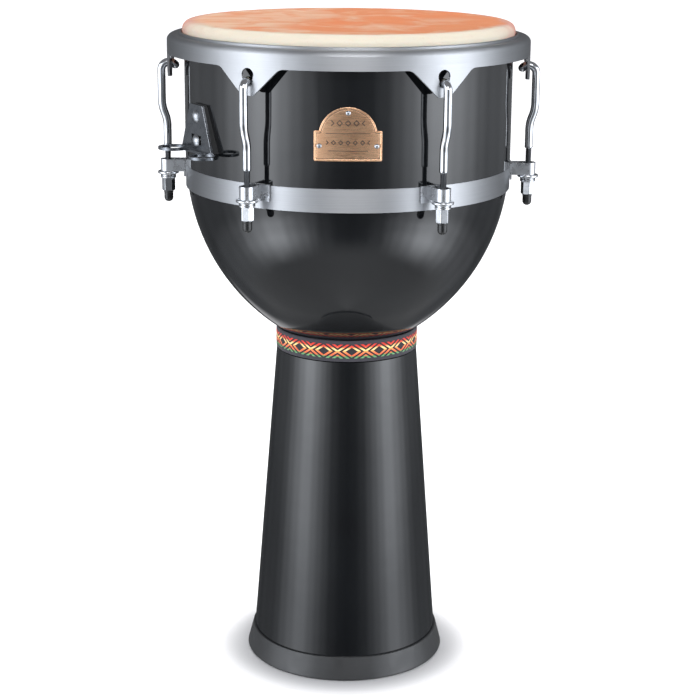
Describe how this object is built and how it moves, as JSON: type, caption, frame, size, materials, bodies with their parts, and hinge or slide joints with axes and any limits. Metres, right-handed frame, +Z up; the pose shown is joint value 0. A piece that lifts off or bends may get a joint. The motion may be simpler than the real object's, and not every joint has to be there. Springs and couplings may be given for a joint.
{
  "type": "djembe",
  "caption": "Goblet hand drum with a gloss black shell, steel counterhoop, hook rods and hex tuning nuts, woven neck ribbon, rubber foot and a strap bracket.",
  "frame": {"origin": "centre of the foot's underside, on the drum's axis, on the floor", "axes": "+Z up along the drum's axis; the badge faces -Y; two of the lugs lie on the X axis"},
  "size_m": [0.3744, 0.3504, 0.6467],
  "materials": {
    "shell_gloss": "high gloss black lacquer over fibreglass",
    "foot_rubber": "matt black rubber",
    "ribbon": "woven ribbon in red, orange, yellow and green",
    "brushed": "brushed stainless steel",
    "plated": "bright chrome plate",
    "hide": "shaved goat hide, satin",
    "badge": "brushed copper colour with a raised rim"
  },
  "bodies": {
    "drum_shell": {"bowl": "shell_gloss", "foot_tube": "shell_gloss", "foot_ring": "foot_rubber", "neck_ribbon": "ribbon", "side_band": "brushed", "lug_bolts": "plated", "lug_bolt_nuts": "plated", "strap_bracket": "plated", "bracket_gasket": "foot_rubber", "bracket_bolts": "plated", "bracket_nuts": "plated", "badge": "badge", "badge_pins": "plated", "lug_strap_1": "plated", "lug_strap_2": "plated", "lug_strap_3": "plated", "lug_strap_4": "plated", "lug_strap_5": "plated", "lug_strap_6": "plated", "cup_washer_1": "plated", "cup_washer_2": "plated", "cup_washer_3": "plated", "cup_washer_4": "plated", "cup_washer_5": "plated", "cup_washer_6": "plated"},
    "head_assembly": {"counterhoop": "brushed", "head_skin": "hide", "flesh_hoop": "plated", "tension_rod_1": "plated", "tension_rod_2": "plated", "tension_rod_3": "plated", "tension_rod_4": "plated", "tension_rod_5": "plated", "tension_rod_6": "plated"},
    "nut_1": {"tuning_nut_1": "plated", "rod_cap_1": "foot_rubber"},
    "nut_2": {"tuning_nut_2": "plated", "rod_cap_2": "foot_rubber"},
    "nut_3": {"tuning_nut_3": "plated", "rod_cap_3": "foot_rubber"},
    "nut_4": {"tuning_nut_4": "plated", "rod_cap_4": "foot_rubber"},
    "nut_5": {"tuning_nut_5": "plated", "rod_cap_5": "foot_rubber"},
    "nut_6": {"tuning_nut_6": "plated", "rod_cap_6": "foot_rubber"}
  },
  "joints": [
    {"name": "head_lift", "type": "slide", "parent": "drum_shell", "child": "head_assembly", "axis": [0, 0, 1], "range_m": [0, 0.01]},
    {"name": "nut_1_turn", "type": "hinge", "parent": "drum_shell", "child": "nut_1", "pos_m": [-0.08845, -0.1532, 0.4866], "axis": [0, 0, 1], "range_deg": [-3600, 0]},
    {"name": "nut_2_turn", "type": "hinge", "parent": "drum_shell", "child": "nut_2", "pos_m": [0.08845, -0.1532, 0.4866], "axis": [0, 0, 1], "range_deg": [-3600, 0]},
    {"name": "nut_3_turn", "type": "hinge", "parent": "drum_shell", "child": "nut_3", "pos_m": [0.1769, 0, 0.4866], "axis": [0, 0, 1], "range_deg": [-3600, 0]},
    {"name": "nut_4_turn", "type": "hinge", "parent": "drum_shell", "child": "nut_4", "pos_m": [0.08845, 0.1532, 0.4866], "axis": [0, 0, 1], "range_deg": [-3600, 0]},
    {"name": "nut_5_turn", "type": "hinge", "parent": "drum_shell", "child": "nut_5", "pos_m": [-0.08845, 0.1532, 0.4866], "axis": [0, 0, 1], "range_deg": [-3600, 0]},
    {"name": "nut_6_turn", "type": "hinge", "parent": "drum_shell", "child": "nut_6", "pos_m": [-0.1769, 0, 0.4866], "axis": [0, 0, 1], "range_deg": [-3600, 0]}
  ],
  "couplings": [
    {"joint": "nut_1_turn", "follows": "head_lift", "rad_per_m": -6283.2},
    {"joint": "nut_2_turn", "follows": "head_lift", "rad_per_m": -6283.2},
    {"joint": "nut_3_turn", "follows": "head_lift", "rad_per_m": -6283.2},
    {"joint": "nut_4_turn", "follows": "head_lift", "rad_per_m": -6283.2},
    {"joint": "nut_5_turn", "follows": "head_lift", "rad_per_m": -6283.2},
    {"joint": "nut_6_turn", "follows": "head_lift", "rad_per_m": -6283.2}
  ]
}
